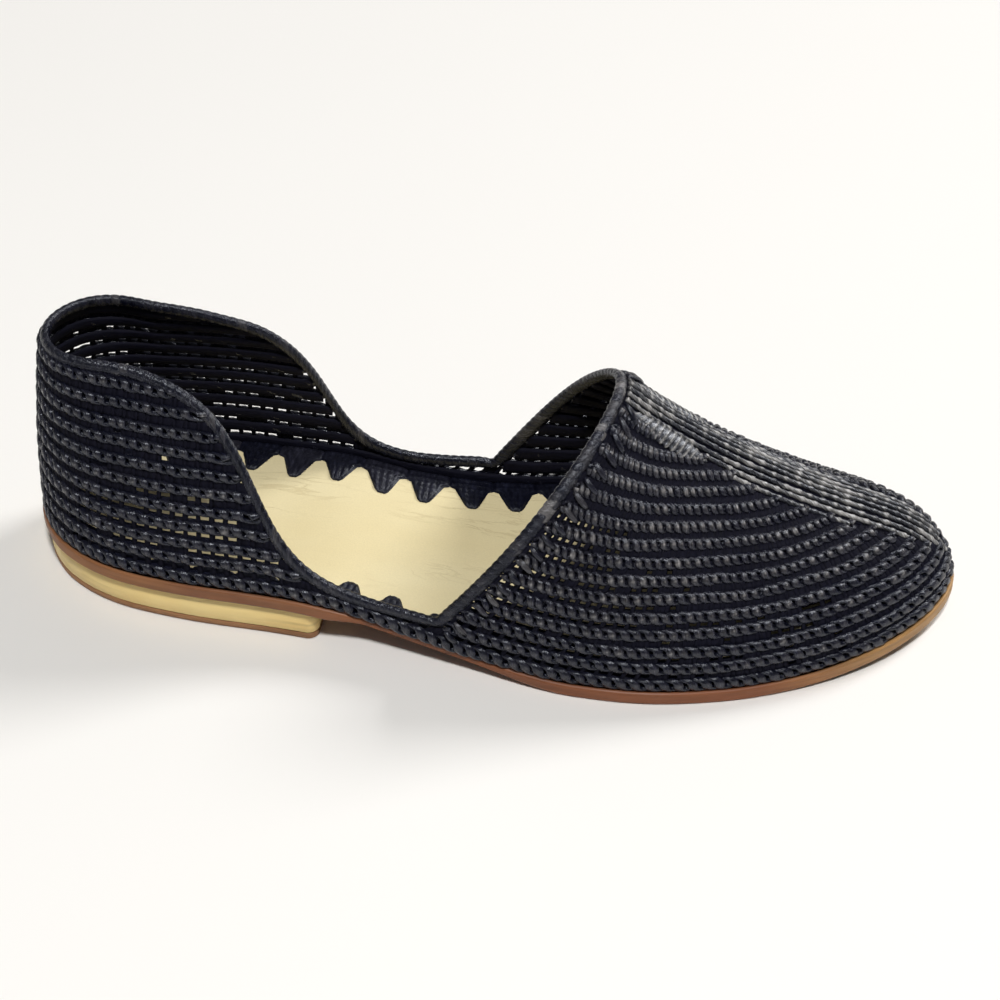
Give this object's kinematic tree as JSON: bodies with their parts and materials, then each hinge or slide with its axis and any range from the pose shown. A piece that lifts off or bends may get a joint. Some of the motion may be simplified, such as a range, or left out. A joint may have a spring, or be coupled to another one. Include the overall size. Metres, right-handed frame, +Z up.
{
  "type": "d'orsay flat shoe",
  "caption": "Low flat shoe of twined black raffia with closed vamp and heel cup, open waist sides, pale leather insole, thin leather sole and low wooden heel.",
  "frame": {"origin": "middle of the outsole's box in plan, on the floor under the heel lift and the forefoot", "axes": "+X towards the toe, +Y towards the inner (medial) side of this right shoe, +Z up"},
  "size_m": [0.25, 0.0886, 0.072],
  "materials": {
    "raffia": "twined strands, slight sheen",
    "pale_leather": "natural, uncoated",
    "sole_leather": "smooth edge",
    "pale_wood": "plain",
    "lift_brown": "plain"
  },
  "bodies": {
    "root": {"upper": "raffia", "topline_binding": "raffia", "edge_points": "raffia", "insole": "pale_leather", "outsole": "sole_leather", "heel_block": "pale_wood", "top_lift": "lift_brown"}
  },
  "joints": []
}
